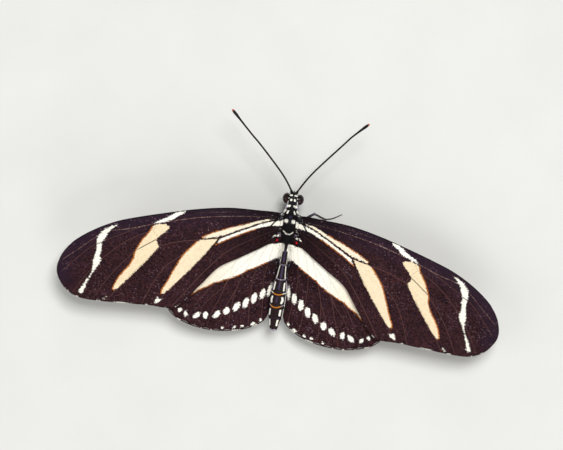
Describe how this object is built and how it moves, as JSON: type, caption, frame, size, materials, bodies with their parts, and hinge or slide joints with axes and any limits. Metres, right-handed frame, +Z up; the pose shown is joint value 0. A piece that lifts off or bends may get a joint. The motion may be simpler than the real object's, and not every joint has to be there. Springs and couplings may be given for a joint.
{
  "type": "zebra longwing butterfly",
  "caption": "Life-size still model of a zebra longwing: long dark wings with pale bands spread flat, slender body, clubbed feelers, standing on thin legs.",
  "frame": {"origin": "on the ground under the middle of the whole animal's box, feelers included", "axes": "+Z up from the ground it stands on, the head points to -Y, +X to the animal's left wing tip"},
  "size_m": [0.0864, 0.0444, 0.0105],
  "materials": {
    "wing_scales": "dark brown scales with cream and ivory bands and spots",
    "body_hair": "fine black hair and scales with pale spots and abdomen rings",
    "eye": "smooth faceted dark red-brown eye",
    "leg": "thin dark brown horny limb with fine scales",
    "antenna": "thin black ringed horn with orange tips"
  },
  "bodies": {
    "root": {"head": "body_hair", "neck": "body_hair", "thorax": "body_hair", "abdomen": "body_hair", "eye_left": "eye", "eye_right": "eye", "palp_left": "antenna", "palp_right": "antenna", "proboscis": "antenna", "antenna_left": "antenna", "antenna_right": "antenna", "foreleg_left": "leg", "foreleg_right": "leg", "midleg_left": "leg", "midleg_right": "leg", "hindleg_left": "leg", "hindleg_right": "leg", "forewing_left": "wing_scales", "forewing_right": "wing_scales", "hindwing_left": "wing_scales", "hindwing_right": "wing_scales"}
  },
  "joints": []
}
